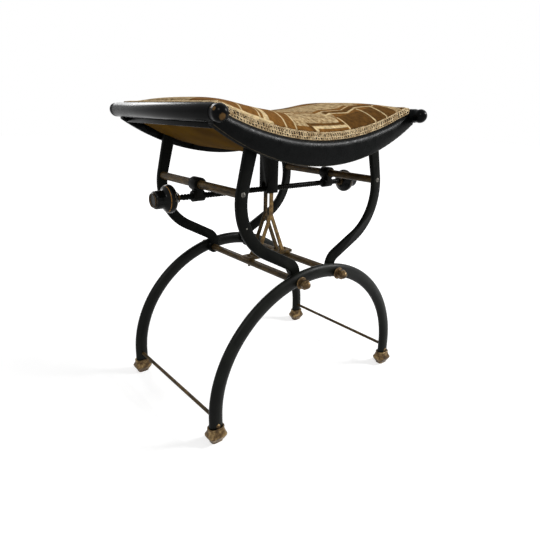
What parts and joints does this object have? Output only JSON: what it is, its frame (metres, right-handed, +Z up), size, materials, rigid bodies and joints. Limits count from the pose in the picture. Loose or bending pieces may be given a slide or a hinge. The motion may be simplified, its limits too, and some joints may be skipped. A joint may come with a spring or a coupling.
{
  "type": "adjustable piano stool",
  "caption": "Backless upholstered seat with curved rails on swinging S-shaped legs over iron arches; a cross screw with two knobs raises and lowers it.",
  "frame": {"origin": "on the floor, below the middle of the seat", "axes": "+X towards the right-hand knob, -Y towards the front, +Z up"},
  "size_m": [0.494, 0.37, 0.5574],
  "materials": {
    "arch_iron": "japanned black iron, worn brown on the crowns",
    "brass": "aged cast brass",
    "brown_iron": "iron with a worn brown lacquer",
    "black_iron": "black japanned iron",
    "steel": "dulled steel",
    "ebonised_wood": "polished ebonised wood",
    "board": "plain sawn board",
    "velvet": "cut velvet with a scrolling leaf pattern",
    "braid": "woven gimp braid",
    "lining": "plain glazed lining cloth"
  },
  "bodies": {
    "base": {"arch_front": "arch_iron", "arch_rear": "arch_iron", "shoe_front_left": "brass", "shoe_front_right": "brass", "shoe_rear_left": "brass", "shoe_rear_right": "brass", "shoe_screws": "brass", "stretcher_left": "brown_iron", "stretcher_right": "brown_iron", "lower_rod_left": "brown_iron", "lower_rod_right": "brown_iron", "finial_nuts_front": "brass", "finial_nuts_rear": "brass", "crossbar": "brown_iron", "crossbar_bolts": "brown_iron", "guide_fork_front": "brass", "guide_fork_rear": "brass"},
    "leg_left": {"leg_front_left": "black_iron", "leg_rear_left": "black_iron", "upper_rod_left": "brown_iron", "rod_sleeves_left": "brown_iron", "leg_screws_left": "steel", "track_pins_left": "steel"},
    "leg_right": {"leg_front_right": "black_iron", "leg_rear_right": "black_iron", "upper_rod_right": "brown_iron", "rod_sleeves_right": "brown_iron", "leg_screws_right": "steel", "track_pins_right": "steel"},
    "nut_left": {"screw_nut_left": "black_iron"},
    "nut_right": {"screw_nut_right": "black_iron"},
    "bearing": {"bearing_block": "black_iron"},
    "screw": {"spindle": "steel", "knob_left": "ebonised_wood", "knob_right": "ebonised_wood", "collar_left": "brown_iron", "collar_right": "brown_iron"},
    "seat": {"seat_rail_front": "ebonised_wood", "seat_rail_rear": "ebonised_wood", "end_roll_left": "ebonised_wood", "end_roll_right": "ebonised_wood", "end_batten_left": "ebonised_wood", "end_batten_right": "ebonised_wood", "track_plates_front": "black_iron", "track_plates_rear": "black_iron", "seat_board": "board", "seat_pad": "velvet", "gimp_braid": "braid", "seat_lining": "lining", "guide_box": "black_iron"}
  },
  "joints": [
    {"name": "seat_lift", "type": "slide", "parent": "base", "child": "seat", "axis": [0, 0, 1], "range_m": [-0.026, 0.038]},
    {"name": "leg_left_swing", "type": "hinge", "parent": "base", "child": "leg_left", "pos_m": [-0.0466, 0, 0.2528], "axis": [0, 1, 0], "range_deg": [-8.21, 11.98]},
    {"name": "leg_right_swing", "type": "hinge", "parent": "base", "child": "leg_right", "pos_m": [0.0466, 0, 0.2528], "axis": [0, -1, 0], "range_deg": [-8.21, 11.98]},
    {"name": "nut_left_pivot", "type": "hinge", "parent": "leg_left", "child": "nut_left", "pos_m": [-0.16023, 0, 0.41557], "axis": [0, -1, 0], "range_deg": [-8.21, 11.98]},
    {"name": "nut_right_pivot", "type": "hinge", "parent": "leg_right", "child": "nut_right", "pos_m": [0.16023, 0, 0.41557], "axis": [0, 1, 0], "range_deg": [-8.21, 11.98]},
    {"name": "bearing_travel", "type": "slide", "parent": "nut_left", "child": "bearing", "axis": [-1, 0, 0], "range_m": [-0.0239, 0.0348]},
    {"name": "spindle_turn", "type": "hinge", "parent": "bearing", "child": "screw", "pos_m": [0, 0, 0.39457], "axis": [1, 0, 0], "range_deg": [-1421, 2076]}
  ],
  "couplings": [
    {"joint": "leg_left_swing", "follows": "seat_lift", "rad_per_m": 5.4945},
    {"joint": "leg_right_swing", "follows": "seat_lift", "rad_per_m": 5.4945},
    {"joint": "nut_left_pivot", "follows": "seat_lift", "rad_per_m": 5.4945},
    {"joint": "nut_right_pivot", "follows": "seat_lift", "rad_per_m": 5.4945},
    {"joint": "bearing_travel", "follows": "seat_lift", "ratio": 0.91},
    {"joint": "spindle_turn", "follows": "seat_lift", "rad_per_m": 952.9}
  ]
}
